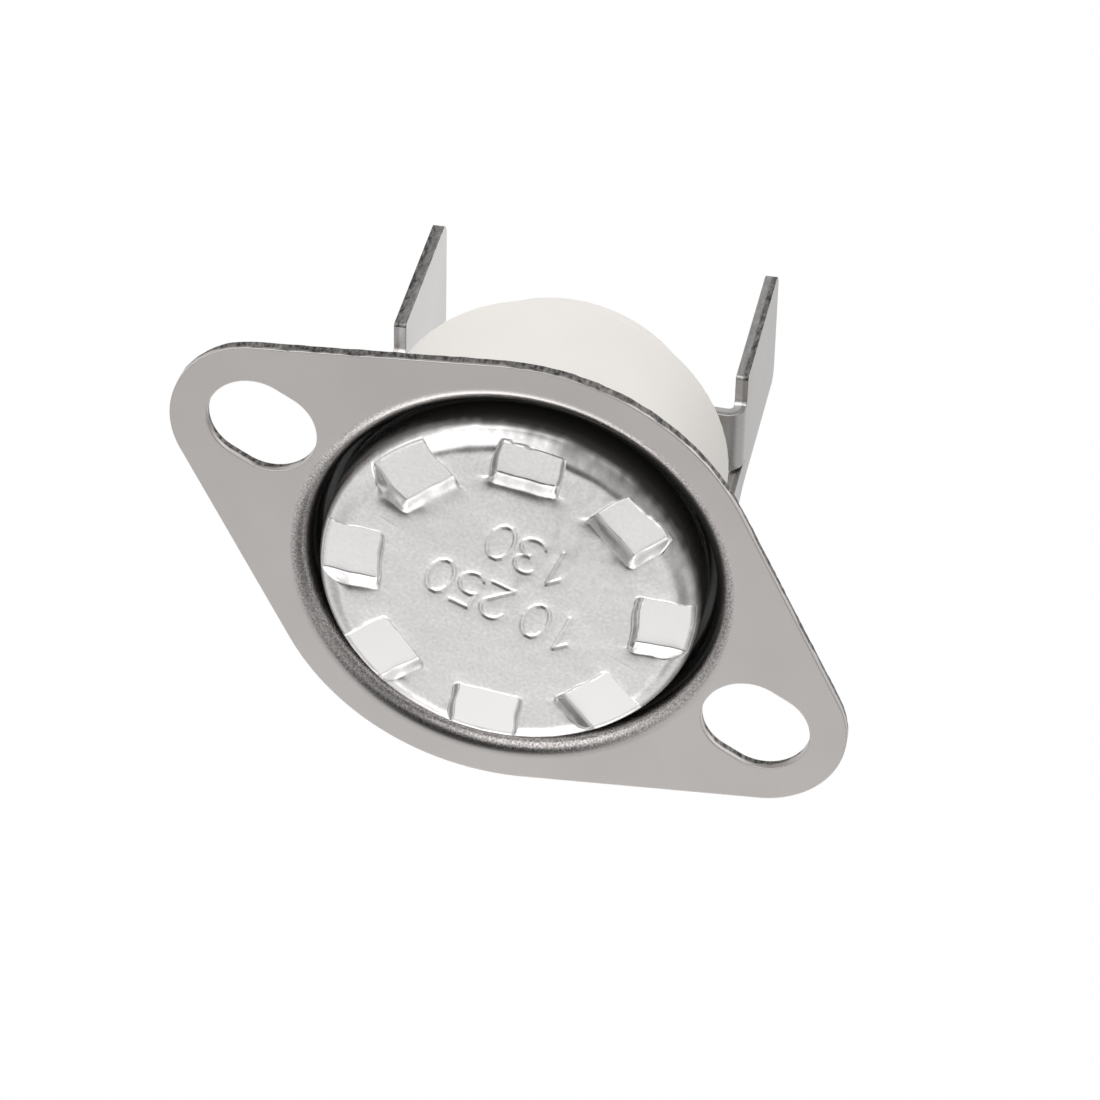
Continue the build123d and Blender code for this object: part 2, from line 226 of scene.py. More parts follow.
def rounded_path(corners, spacing, closed=True, facet=8):
    """Points along a path with rounded corners, and their outward normals, as two (n, 2) arrays.

    A corner is (x, y, radius). Its round touches both sides radius * tan(turn / 2) from the corner and
    turns evenly, by at most the facet angle in degrees. Straight stretches are divided at the spacing.
    The path runs anticlockwise about its inside, so its outward side is on the right.
    """
    places = np.array(corners, float)
    spots = places[:, :2]
    ahead = np.roll(spots, -1, axis=0) - spots
    ahead /= np.linalg.norm(ahead, axis=1, keepdims=True)
    behind = np.roll(ahead, 1, axis=0)
    if not closed:
        behind[0], ahead[-1] = ahead[0], behind[-1]
    points, normals = [], []
    for spot, radius, first, second in zip(spots, places[:, 2], behind, ahead):
        turn = math.atan2(first[0] * second[1] - first[1] * second[0], first @ second)
        normal = np.array((first[1], -first[0]))
        if radius == 0 or abs(turn) < 1e-6:
            points.append(spot[None])
            normals.append(normal[None])
            continue
        sign = math.copysign(1, turn)
        middle = spot - first * radius * math.tan(abs(turn) / 2) - sign * radius * normal
        steps = max(3, math.ceil(abs(turn) * radius / spacing), math.ceil(abs(turn) / math.radians(facet)))
        angles = math.atan2(normal[1], normal[0]) + turn * np.linspace(0, 1, steps + 1)
        arc_normals = np.column_stack((np.cos(angles), np.sin(angles)))
        points.append(middle + sign * radius * arc_normals)
        normals.append(arc_normals)
    if closed:
        points.append(points[0][:1])
        normals.append(normals[0][:1])
    filled, filled_normals = [points[0]], [normals[0]]
    for before, after, after_normals in zip(points, points[1:], normals[1:]):
        run = after[0] - before[-1]
        parts = max(1, math.ceil(np.linalg.norm(run) / spacing))
        share = np.arange(1, parts)[:, None] / parts
        filled += [before[-1] + run * share, after]
        filled_normals += [np.repeat(after_normals[:1], parts - 1, axis=0), after_normals]
    path, outward = np.concatenate(filled), np.concatenate(filled_normals)
    if closed:
        path, outward = path[:-1], outward[:-1]
    apart = np.linalg.norm(path - np.roll(path, 1, axis=0), axis=1) > 1e-9
    apart[0] |= not closed
    return path[apart], outward[apart]


def edge_bands(outlines, thickness, radius, lead):
    """Rows of points round a sheet's edges, from its front face round to its back, and the rows' heights.

    Each row is the path moved in by an inset, at a height: on the rounds they are radius * (1 - sin a)
    and radius * (1 - cos a). A narrow flat lead on both faces keeps the rounds' shading off them.
    """
    round_rows, wall_rows = 4, 7
    angle = np.linspace(0, math.pi / 2, round_rows)
    inset, height = radius * (1 - np.sin(angle)), radius * (1 - np.cos(angle))
    wall = np.linspace(radius, thickness - radius, wall_rows)[1:-1]
    insets = np.concatenate(([radius + lead], inset, np.zeros(len(wall)), inset[::-1], [radius + lead]))
    heights = np.concatenate(([0], height, wall, thickness - height[::-1], [thickness]))
    bands = []
    for path, outward in outlines:
        flat = path[None] - outward[None] * insets[:, None, None]
        rise = np.broadcast_to(heights[:, None, None], flat.shape[:2] + (1,))
        bands.append(np.concatenate((flat, rise), axis=2))
    return bands, heights


def eased_bend(reach, steps):
    """Section of a quarter bend whose curvature is small at its ends and peaks between them.

    The slope is a quarter turn times u - 0.35 sin(2 pi u) / 2 pi, with u the share of its length. The
    section starts at (reach, 0), ends at (0, reach), and is the running sum of its slope's cosine and sine.
    """
    share = (np.arange(steps) + 0.5) / steps
    slope = math.pi / 2 * (share - 0.35 * np.sin(2 * math.pi * share) / (2 * math.pi))
    run = np.concatenate(([0], np.cumsum(np.cos(slope))))
    rise = np.concatenate(([0], np.cumsum(np.sin(slope))))
    return np.column_stack((1 - run / run[-1], rise / rise[-1])) * reach


def lathe(profile, angles):
    """Rows of points turned about Z: (r cos a, r sin a, z) for each profile point (r, z) and angle a."""
    radius, height = profile[:, 0, None], profile[:, 1, None]
    rise = np.broadcast_to(height, (len(profile), len(angles)))
    return np.stack((radius * np.cos(angles), radius * np.sin(angles), rise), axis=2)


def full_turn(columns):
    """Even angles once round."""
    return np.arange(columns) * 2 * math.pi / columns


def band_faces(rows, columns, base=0):
    """Quads of a grid that closes on itself along its columns, numbered row by row from base."""
    row, column = np.meshgrid(np.arange(rows - 1), np.arange(columns), indexing="ij")
    first, second = row * columns + column, row * columns + (column + 1) % columns
    quads = np.stack((first, second, second + columns, first + columns), axis=2)
    return base + quads.reshape(-1, 4)


def fill_between(rings, cuts):
    """Triangles that fill the flat region bounded by rings of (x, y) points, the first one outermost.

    They are the constrained Delaunay triangles that belong to the first ring and to none of the others.
    Cuts are pairs of point numbers that have to be edges.
    """
    starts = np.cumsum([0] + [len(ring) for ring in rings]).tolist()
    points = np.concatenate(rings)
    scaled = [Vector(point) for point in (points / np.abs(points).max()).tolist()]
    loops = [list(range(first, last)) for first, last in zip(starts, starts[1:])]
    found = delaunay_2d_cdt(scaled, list(cuts), loops, 0, 1e-9)
    own = [face for face, owners in zip(found[2], found[5]) if owners == [0]]
    return np.array([[found[3][corner][0] for corner in face] for face in own])


def make_piece(name, points, faces, attributes=None, flat_parts=0):
    """A mesh object at the origin from arrays: faces is a list of (n, 3) or (n, 4) index arrays.

    The first flat_parts of them are shaded flat. Attributes holds one float array for each name.
    """
    mesh = bpy.data.meshes.new(name)
    totals = np.concatenate([np.full(len(part), part.shape[1]) for part in faces])
    loops = np.concatenate([part.ravel() for part in faces])
    mesh.vertices.add(len(points))
    mesh.vertices.foreach_set("co", np.asarray(points, np.float32).ravel())
    mesh.loops.add(len(loops))
    mesh.loops.foreach_set("vertex_index", loops.astype(np.int32))
    mesh.polygons.add(len(totals))
    mesh.polygons.foreach_set("loop_start", np.concatenate(([0], np.cumsum(totals)[:-1])).astype(np.int32))
    flags = np.concatenate([np.full(len(part), number >= flat_parts) for number, part in enumerate(faces)])
    mesh.polygons.foreach_set("use_smooth", flags)
    for label, values in (attributes or {}).items():
        layer = mesh.attributes.new(label, "FLOAT", "POINT")
        layer.data.foreach_set("value", np.asarray(values, np.float32))
    mesh.update(calc_edges=True)
    mesh.validate()
    piece = bpy.data.objects.new(name, mesh)
    bpy.context.scene.collection.objects.link(piece)
    return piece


def make_sheet(bands, cuts=()):
    """Points, band starts and faces of a sheet with rounded edges.

    The first band goes round the outline, the others round holes, turned over because they face their
    middle. The faces are the fills between the bands' first and last rows, and then the bands.
    """
    starts = np.cumsum([0] + [band.shape[0] * band.shape[1] for band in bands])
    points = np.concatenate([band.reshape(-1, 3) for band in bands])
    fill = fill_between([band[0, :, :2] for band in bands], cuts)
    grids = [np.arange(band.size // 3).reshape(band.shape[:2]) for band in bands]
    front, back = (
        np.concatenate([start + grid[row] for start, grid in zip(starts, grids)]) for row in (0, -1)
    )
    sides = [band_faces(band.shape[0], band.shape[1], start) for start, band in zip(starts, bands)]
    sides[1:] = [side[:, ::-1] for side in sides[1:]]
    return points, starts, [front[fill][:, ::-1], back[fill], *sides]


def dress(piece, body, material, replaced):
    """Gives a piece its material, its body and the CAD node that it stands for."""
    piece.data.materials.append(material)
    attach(piece, body)
    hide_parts(replaced)


def finish_node(name, material):
    """Gives a CAD node that stays in view its finish."""
    slots = frame["nodes"][name].data.materials
    slots.clear()
    slots.append(material)


# Kinds of node and settings of a colour mix that the materials share
MATH, MIX, MAP_RANGE = "ShaderNodeMath", "ShaderNodeMix", "ShaderNodeMapRange"
NOISE, BUMP = "ShaderNodeTexNoise", "ShaderNodeBump"
BLEND = {"data_type": "RGBA"}
TIMES = {"data_type": "RGBA", "blend_type": "MULTIPLY"}


def connect(tree, target, inputs):
    """Fills a node's inputs, by name or as a tuple in the order of the sockets in use.

    An input is a value, a socket, or a node, whose first output in use is linked. A map range takes its
    value, from min, from max, to min and to max, a noise its place, scale, detail and roughness, and a
    mix its share and two colours.
    """
    if isinstance(inputs, dict):
        pairs = [(target.inputs[name], value) for name, value in inputs.items()]
    else:
        pairs = zip([socket for socket in target.inputs if socket.enabled], inputs)
    for socket, value in pairs:
        if isinstance(value, bpy.types.Node):
            value = next(output for output in value.outputs if output.enabled)
        if isinstance(value, bpy.types.NodeSocket):
            tree.links.new(value, socket)
        else:
            socket.default_value = value


def node(tree, kind, inputs=(), **settings):
    """Adds one node of this kind with its settings, and connects its inputs."""
    made = tree.nodes.new(kind)
    for name, value in settings.items():
        setattr(made, name, value)
    connect(tree, made, inputs)
    return made


def per(size):
    """Texture scale that gives a pattern features of this size."""
    return 1.0 / size


def empty_tree(owner):
    """The cleared node tree of a material or a world."""
    owner.use_nodes = True
    owner.node_tree.nodes.clear()
    return owner.node_tree


def start_material(name, *labels):
    """A material, its tree and Principled shader, its Object coordinates, and the mesh's attributes."""
    material = bpy.data.materials.new(name)
    tree = empty_tree(material)
    shader = node(tree, "ShaderNodeBsdfPrincipled")
    node(tree, "ShaderNodeOutputMaterial", {"Surface": shader})
    place = node(tree, "ShaderNodeTexCoord").outputs["Object"]
    fields = [node(tree, "ShaderNodeAttribute", attribute_name=label).outputs["Fac"] for label in labels]
    return material, tree, shader, place, *fields


def paint_shade(tree, shader, painted_shade, colour):
    """Lays a matt dark colour over a metal's colour as painted shade, as far as the mesh's shade share says.
    """
    painted_shade_colour = opaque(bpy.context.scene.switch_finish.painted_shade_colour)
    shaded_colour = node(tree, MIX, (painted_shade, colour, painted_shade_colour), **BLEND)
    bare = node(tree, MAP_RANGE, (painted_shade, 0.0, 1.0, 1.0, 0.1))
    connect(tree, shader, {"Base Color": shaded_colour, "Metallic": bare})


def nickel_sheet(name, front, behind, sheared, grain):
    """Nickel plated cold rolled steel, blanked and drawn.

    The flat faces are an even satin. On the blades the face towards the body takes a lighter colour and the
    other face a darker one: a lit and a shaded copy of one nickel, which is painted light.
    Drawing opens the grain into a fine dark and light speckle, and the torn part of a sheared edge is dark
    with bright burnished streaks.
    The die has burnished the collar's bend, and deep in the collar's gap a matt dark colour is laid on as
    painted shade. The mesh says where, with its attributes.
    """
    labels = ("drawn", "edge", "back", "painted_shade", "burnish")
    material, tree, shader, place, *fields = start_material(name, *labels)
    drawn, edge, back, painted_shade, burnish = fields
    streaks = node(tree, "ShaderNodeMapping", {"Vector": place, "Scale": (1.0, 1.0, 0.4)})
    coarse = node(tree, NOISE, (streaks, per(2.2 * grain), 4.0, 0.7))
    fine = node(tree, NOISE, (place, per(grain), 3.0, 0.7))
    broad = node(tree, NOISE, (place, per(3 * MM), 2.0))
    # On the blades the two faces' colours are a lit and a shaded copy of one nickel: painted light
    side = node(tree, MIX, (back, opaque(front), opaque(behind)), **BLEND)
    tone = node(tree, MAP_RANGE, (broad, 0.3, 0.7, 0.97, 1.02))
    even = node(tree, MIX, (1.0, side, tone), **TIMES)
    speck = node(tree, MAP_RANGE, (fine, 0.36, 0.64, 0.46, 1.05))
    speckled = node(tree, MIX, (drawn, even, side), **BLEND)
    grained = node(tree, MIX, (drawn, speckled, speck), **TIMES)
    torn = node(tree, MAP_RANGE, (coarse, 0.38, 0.68, 0.3, 2.6))
    rough_edge = node(tree, MIX, (1.0, opaque(sheared), torn), **TIMES)
    colour = node(tree, MIX, (edge, grained, rough_edge), **BLEND)
    paint_shade(tree, shader, painted_shade, colour)
    satin = node(tree, MAP_RANGE, (burnish, 0.0, 1.0, 0.36, 0.2))
    roughness = node(tree, MAP_RANGE, (edge, 0.0, 1.0, satin, 0.5))
    worked = node(tree, MATH, (drawn, edge), operation="MAXIMUM")
    strength = node(tree, MAP_RANGE, (worked, 0.0, 1.0, 0.05, 0.45))
    bump = node(tree, BUMP, {"Strength": strength, "Distance": 0.02 * MM, "Height": fine})
    connect(tree, shader, {"Roughness": roughness, "Normal": bump})
    return material


def stamped_aluminium(name, face, coined):
    """Soft aluminium sheet, drawn to a cup and coined in a press.

    The face keeps a faint mill grain. The punch burnishes the pocket floors lighter, and painted light
    brightens them further towards one side.
    A matt dark colour is laid on as painted shade low on the wall, in the gap, and on the pockets' walls.
    The mesh says where, with its attributes.
    """
    material, tree, shader, place, pressed, painted_shade = start_material(name, "pressed", "painted_shade")
    grain = node(tree, NOISE, (place, per(0.16 * MM), 4.0, 0.65))
    cloud = node(tree, NOISE, (place, per(2.2 * MM), 3.0))
    tone = node(tree, MAP_RANGE, (grain, 0.3, 0.7, 0.9, 1.08))
    drift = node(tree, MAP_RANGE, (cloud, 0.3, 0.7, 0.97, 1.02))
    both = node(tree, MATH, (tone, drift), operation="MULTIPLY")
    grained = node(tree, MIX, (1.0, opaque(face), both), **TIMES)
    colour = node(tree, MIX, (pressed, grained, opaque(coined)), **BLEND)
    paint_shade(tree, shader, painted_shade, colour)
    bump = node(tree, BUMP, {"Strength": 0.12, "Distance": 0.02 * MM, "Height": grain})
    connect(tree, shader, {"Roughness": 0.27, "Normal": bump})
    return material


def steatite(name, colour):
    """Pressed and fired steatite, unglazed: smooth, faintly waxy, with fine pores and rare grey specks."""
    material, tree, shader, place = start_material(name)
    cloud = node(tree, NOISE, (place, per(4 * MM), 3.0))
    pores = node(tree, NOISE, (place, per(0.12 * MM), 4.0))
    specks = node(tree, "ShaderNodeTexVoronoi", {"Vector": place, "Scale": per(1.1 * MM)})
    tone = node(tree, MAP_RANGE, (cloud, 0.3, 0.7, 0.975, 1.01))
    dots = node(tree, MAP_RANGE, (specks, 0.02, 0.05, 0.86, 1.0))
    both = node(tree, MATH, (tone, dots), operation="MULTIPLY")
    tinted = node(tree, MIX, (1.0, opaque(colour), both), **TIMES)
    bump = node(tree, BUMP, {"Strength": 0.12, "Distance": 0.02 * MM, "Height": pores})
    connect(tree, shader, {"Base Color": tinted, "Roughness": 0.5, "IOR": 1.6, "Normal": bump})
    return material


def rolled_metal(name, colour, roughness, grain, stretch):
    """Rolled or turned metal: fine lines of this grain, stretched along one direction, in tone and bump."""
    material, tree, shader, place = start_material(name)
    along = node(tree, "ShaderNodeMapping", {"Vector": place, "Scale": stretch})
    lines = node(tree, NOISE, (along, per(grain), 3.0))
    tone = node(tree, MAP_RANGE, (lines, 0.3, 0.7, 0.88, 1.06))
    tinted = node(tree, MIX, (1.0, opaque(colour), tone), **TIMES)
    bump = node(tree, BUMP, {"Strength": 0.15, "Distance": 0.01 * MM, "Height": lines})
    connect(tree, shader, {"Base Color": tinted, "Metallic": 1.0, "Roughness": roughness, "Normal": bump})
    return material


def bracket_outlines(sizes):
    """Outlines of the plate and of its two slots, each with normals that point out of the metal.

    The plate is a diamond. Its end rounds and its middle round touch the same four slanting sides.
    """
    spacing = 0.14 * MM
    middle_radius, end_radius = BRACKET_HIGH.y, sizes.end_radius
    slope = math.acos((middle_radius - end_radius) / (BRACKET_HIGH.x - end_radius))
    tip, crown = middle_radius / math.cos(slope), middle_radius / math.sin(slope)
    ends = [(side * tip, 0, end_radius) for side in (1, -1)]
    crowns = [(0, side * crown, middle_radius) for side in (1, -1)]
    outlines = [rounded_path((ends[0], crowns[0], ends[1], crowns[1]), spacing)]
    half_length = SLOTS["slot_length_mm"] * MM / 2
    half_width = SLOTS["hole_r_mm"] * MM
    for side in (-1, 1):
        middle = side * SLOTS["spacing_x_mm"] * MM / 2
        corners = [(middle + x * half_length, y * half_width, half_width) for x, y in SQUARE]
        slot, outward = rounded_path(corners, spacing)
        outlines.append((slot, -outward))
    return outlines


def collar_section(sizes, lead):
    """Section (r, z) of the collar over the plate's front, and the radius at which the plate is flat.

    It runs from the plate's front through the eased bend and the turned-in rim to the plate's back.
    """
    thickness, corner, land = sizes.thickness, 0.04 * MM, 0.1 * MM
    inner = CAP_HIGH.x + sizes.collar_gap
    flat = inner + sizes.front_bend + lead
    under, top = BRACKET_HIGH.z - thickness - BRACKET_LOW.z, BRACKET_HIGH.z - BRACKET_LOW.z
    bend = eased_bend(sizes.front_bend + 0.8 * lead, 28)
    corners = [
        (inner, bend[-1, 1] + 0.05 * MM, 0),
        (inner, under, sizes.back_bend - thickness),
        (sizes.hole_radius, under, corner),
        (sizes.hole_radius, top, corner),
        (inner + thickness, top, sizes.back_bend),
        (inner + thickness, thickness, sizes.front_bend - thickness),
        (flat + land, thickness, 0),
    ]
    rest, _ = rounded_path(corners, 0.1 * MM, closed=False)
    return np.concatenate(([(flat + land, 0), (flat, 0)], bend + (inner, 0), rest)), flat


def collar_marks(points, section, flat, hole_radius):
    """How drawn, how darkened by painted shade and how burnished each point of the collar is, from 0 to 1.

    The drawn speckle starts near the flat plate, but further in on the smooth side, and is mostly left out
    on the side where the highlight arc falls, as a painted highlight.
    Painted shade starts 0.95 mm deep in the gap, and less deep towards the two sides where the gap is
    darkest.
    """
    back_rows = 12
    rows = np.repeat(np.arange(len(section)), len(points) // len(section))
    radius, depth = section[rows].T
    front_side = rows < len(section) - back_rows
    at_hole = section[:, 0] <= hole_radius + 0.01 * MM
    inside = np.cumsum(at_hole)[rows] <= 2
    drawn_start = flat + (0.06 - 0.26 * facing_share(points, SMOOTH_SIDE)) * MM
    # Less speckle where the highlight arc falls lightens the collar there: painted highlight
    polished_highlight = facing_share(points, POLISHED_HIGHLIGHT_SIDE) ** 8
    drawn = smooth_step((drawn_start - radius) / (0.2 * MM)) * front_side
    drawn *= (1 - 0.85 * polished_highlight) * inside
    # Painted shade deep in the gap between collar and cap
    unshaded_depth = (0.95 - 0.87 * facing_share(points, SHADED_SIDE)) * MM
    unshaded_depth *= 1 - facing_share(points, DARKEST_SHADE_SIDE) ** 8
    painted_shade = smooth_step((depth - unshaded_depth) / (0.1 * MM + 0.3 * unshaded_depth)) * inside
    burnish = smooth_step((flat - 0.05 * MM - radius) / (0.15 * MM)) * front_side
    return drawn, painted_shade, burnish


def torn_rows(row, outward, heights, share):
    """How torn each point of a sheared edge is, from 0 to 1, row by row.

    The punch sat off centre, so with c the cosine of the angle to the worst side, or 0 past a right
    angle, the torn part is share * (0.35 + 0.6 c^3) of the thickness, plus a little noise.
    """
    worst = math.radians(TORN_SIDE)
    facing = np.maximum(outward @ (math.cos(worst), math.sin(worst)), 0)
    torn = share * (0.35 + 0.6 * facing**3) + 0.1 * hash_noise(row, 0.7 * MM, 9)
    part = smooth_step((heights[:, None] / heights[-1] - 1 + torn) / 0.12)
    part[[0, 1, -1]] = 0  # the two rows on the front face, and the last one on the back face
    return part.ravel()


class SWITCH_OT_bracket(Operator):
    """Build the bracket: a diamond plate with two slots and a drawn collar"""

    bl_idname = "switch.bracket"
    bl_label = "Bracket"

    def execute(self, context):
        sizes = context.scene.switch_bracket
        finish = context.scene.switch_finish
        lead = 0.04 * MM
        outline_share, slot_share = 1, 0.7
        outlines = bracket_outlines(sizes)
        bands, heights = edge_bands(outlines, sizes.thickness, 0.02 * MM, lead)
        section, flat = collar_section(sizes, lead)
        points, starts, faces = make_sheet([*bands, lathe(section, full_turn(360))])
        drawn, painted_shade, burnish, edge = np.zeros((4, len(points)))
        on_collar = slice(starts[3], starts[4])
        # The collar's drawn speckle, its painted shade deep in the gap, and its burnish
        marks = collar_marks(points[on_collar], section, flat, sizes.hole_radius)
        drawn[on_collar], painted_shade[on_collar], burnish[on_collar] = marks
        shares = (outline_share, slot_share, slot_share)
        for number, ((_, outward), share) in enumerate(zip(outlines, shares)):
            torn = torn_rows(bands[number][0], outward, heights, share)
            edge[starts[number] : starts[number + 1]] = torn
        outline = slice(starts[1])
        reach = np.linalg.norm(points[outline, :2], axis=1)
        wear = 0.012 * MM * (hash_noise(points[outline], 0.5 * MM, 3) - 1.5) * (edge[outline] > 0)
        points[outline, :2] *= (1 + wear / reach)[:, None]
        points[:, 2] += BRACKET_LOW.z
        attributes = {"drawn": drawn, "edge": edge, "painted_shade": painted_shade, "burnish": burnish}
        piece = make_piece("bracket_sheet", points, faces, attributes, flat_parts=2)
        colours = (finish.plate, finish.plate, finish.sheared)
        material = nickel_sheet("nickel_plated_steel_sheet", *colours, 0.09 * MM)
        dress(piece, "bracket", material, "mounting_bracket")
        return {"FINISHED"}


DIGITS = {
    "0": [("arc", (0.3, 0.5), (0.28, 0.48), 0, 360)],
    "1": [("line", (0.12, 0.74), (0.34, 0.98)), ("line", (0.34, 0.98), (0.34, 0.02))],
    "2": [
        ("arc", (0.3, 0.7), (0.27, 0.28), 165, -35),
        ("line", (0.521, 0.539), (0.04, 0.02)),
        ("line", (0.04, 0.02), (0.58, 0.02)),
    ],
    "3": [("arc", (0.28, 0.74), (0.25, 0.24), 150, -90), ("arc", (0.28, 0.26), (0.29, 0.25), 90, -150)],
    "5": [
        ("line", (0.54, 0.98), (0.12, 0.98)),
        ("line", (0.12, 0.98), (0.08, 0.55)),
        ("arc", (0.28, 0.32), (0.28, 0.3), 130, -140),
    ],
}
STAMPED_ROWS = (("10 250", (0.2, 0.65)), ("130", (-0.2, -2.2)))
STAMP_TURN = math.radians(173)


def digit_strokes(text, height, middle, turn):
    """Line segments, as (n, 2, 2), of a row of digits with this height, middle and turn.

    Arcs are cut into short chords. The row is stepped by a fixed pitch, less for a blank. It is mirrored,
    because the face is read from below.
    """
    pitch, blank, width = 0.68, 0.3, 0.6
    segments = []
    pen = 0.0
    for letter in text:
        for stroke in DIGITS.get(letter, ()):
            if stroke[0] == "line":
                ends = np.array(stroke[1:], float)
            else:
                _, centre, radii, first, last = stroke
                angle = np.radians(np.linspace(first, last, 15))
                ends = np.column_stack((np.cos(angle), np.sin(angle))) * radii + centre
            ends = ends + (pen, 0)
            segments.append(np.stack((ends[:-1], ends[1:]), axis=1))
        pen += pitch if letter in DIGITS else blank
    strokes = np.concatenate(segments) - ((pen - pitch + width) / 2, 0.5)
    along = np.array(((math.cos(turn), math.sin(turn)), (math.sin(turn), -math.cos(turn))))
    return strokes * height @ along + middle


def stroke_distance(points, strokes):
    """Distance from each (x, y) point to the nearest segment: to its foot, held between the ends."""
    nearest = np.full(len(points), np.inf)
    for start, end in strokes:
        run = end - start
        share = np.clip((points - start) @ run / (run @ run), 0, 1)
        nearest = np.minimum(nearest, np.linalg.norm(points - start - share[:, None] * run, axis=1))
    return nearest


def pocket_distance(points, sizes):
    """Signed distance to the edge of the nearest pocket, negative inside.

    The plane is folded onto one pocket by its angle. The pocket is a rectangle with rounded corners, cut
    short where the edge is beaten flat, and seeded draws turn, shift and size each one a little.
    """
    count, seed, corner = sizes.pocket_count, 11, 0.22 * MM
    pitch = 2 * math.pi / count
    angle = np.arctan2(points[:, 1], points[:, 0]) - pitch / 2
    number = np.round(angle / pitch).astype(int) % count
    folded = angle - np.round(angle / pitch) * pitch
    draw = np.random.default_rng(seed)
    tilt = draw.uniform(-0.05, 0.05, count)[number]
    shift = draw.uniform(-0.05, 0.05, (2, count))[:, number] * MM
    grow = draw.uniform(-0.04, 0.05, count)[number] * MM
    radius = np.linalg.norm(points, axis=1)
    short = 0.7 * MM * facing_share(points, SHORT_SIDE) ** 4
    x = radius * np.cos(folded) - sizes.pocket_place + short / 2 - shift[0]
    y = radius * np.sin(folded) - shift[1]
    across = x * np.cos(tilt) + y * np.sin(tilt)
    along = y * np.cos(tilt) - x * np.sin(tilt)
    over_x = np.abs(across) - (sizes.pocket_length - short) / 2 - grow + corner
    over_y = np.abs(along) - sizes.pocket_width / 2 - grow + corner
    outside = np.hypot(np.maximum(over_x, 0), np.maximum(over_y, 0))
    return outside + np.minimum(np.maximum(over_x, over_y), 0) - corner


def rim_height(over, radius, beaten):
    """Height of the cap's edge at a distance past its start: a quarter round, or a chamfer where beaten.

    The round is radius - sqrt(radius^2 - over^2). With s = over / radius, the chamfer is radius times a
    straight slope of 0.6 that sets in softly at s = 0.2, plus a steep end of 0.52 s^12.
    """
    share = over / radius
    chamfer = 0.6 * eased_ramp(share - 0.2, 0.2, 0) + 0.52 * share**12
    return radius * ((1 - beaten) * (1 - np.sqrt(1 - share**2)) + beaten * chamfer)


def face_height(points, sizes, strokes):
    """Height of the cap's outer face, and how far pressed and how askew each point is, from 0 to 1.

    The height is the rim's, or the pocket depth times an eased ramp across its wall where that is more,
    plus a soft uneven sag outside the pocket and a shallow groove along the digits' strokes. The punch
    stood askew, so a pocket's +Y side leans and sags more. The dents' mean of 1.4 keeps them above z = 0.
    """
    radius = np.linalg.norm(points, axis=1)
    start = CAP_HIGH.x - sizes.rim_radius
    flat_points = np.column_stack((points, np.zeros(len(points))))
    wander = 0.03 * MM * hash_noise(flat_points, 0.9 * MM, 8)
    over = np.clip(radius - start, 0, sizes.rim_radius)
    over = np.clip(over - wander * (1 - over / sizes.rim_radius), 0, sizes.rim_radius)
    rim = rim_height(over, sizes.rim_radius, facing_share(points, BEATEN_SIDE) ** 1.5)
    gap = pocket_distance(points, sizes)
    step = 0.02 * MM
    rise = [(pocket_distance(points + np.array(way) * step, sizes) - gap) / step for way in ((1, 0), (0, 1))]
    askew = smooth_step((0.28 * rise[0] + 0.96 * rise[1]) / 0.6)
    gap += wander
    pressed = eased_ramp(-gap / (sizes.pocket_slope * (0.5 + 0.5 * askew)), 0.4, 0.15)
    sag = (0.02 + 0.09 * askew * (0.4 + 0.6 * facing_share(points, SAGGING_SIDE))) * MM
    sag *= np.exp(-np.maximum(gap, 0) / (0.28 * MM))
    sag *= 1 + 0.5 * hash_noise(flat_points, 1.3 * MM, 12)
    sag *= smooth_step((start + 0.2 * MM - radius) / (0.6 * MM))
    dents = 0.005 * MM * (1 - over / sizes.rim_radius) * (1.4 + hash_noise(flat_points, 2.4 * MM, 5))
    dents += 0.0025 * MM * (1.4 + hash_noise(flat_points, 0.8 * MM, 6))
    away = stroke_distance(points, strokes)
    groove = 0.034 * MM * smooth_step(1 - away / (0.12 * MM))
    groove += 0.018 * MM * np.exp(-((away / (0.28 * MM)) ** 2))
    floor = sizes.pocket_depth * pressed
    return np.maximum(rim, floor) + (sag + dents) * (1 - pressed) + groove, pressed * (floor >= rim), askew


def inner_face_height(points, sizes):
    """Height of the cap's inner face: the wall over a plain round and plain ramps into the pockets."""
    inner_round = sizes.rim_radius - sizes.wall
    past = np.clip(np.linalg.norm(points, axis=1) - CAP_HIGH.x + sizes.rim_radius, 0, inner_round)
    rim = inner_round - np.sqrt(inner_round**2 - past**2)
    depth = pocket_distance(points, sizes) / sizes.pocket_slope
    return sizes.wall + np.maximum(rim, sizes.pocket_depth * eased_ramp(-depth, 0.55, 0.15))


def disc_grid(cells, radius):
    """A square grid of (cells + 1)^2 points (x, y) laid on a disc, with its rim on the circle.

    The larger of the two square coordinates is the radius, and the smaller over the larger gives the
    angle within its quarter. The steps are finer in the middle: three quarters even, one quarter cubed.
    """
    even = np.linspace(-1, 1, cells + 1)
    steps = 0.75 * even + 0.25 * even**3
    a, b = np.meshgrid(steps, steps, indexing="ij")
    wide = np.abs(a) > np.abs(b)
    safe_a, safe_b = (np.where(part == 0, 1, part) for part in (a, b))
    reach = np.where(wide, a, b)
    angle = np.where(wide, math.pi / 4 * b / safe_a, math.pi / 2 - math.pi / 4 * a / safe_b)
    return np.stack((reach * np.cos(angle), reach * np.sin(angle)), axis=2).reshape(-1, 2) * radius


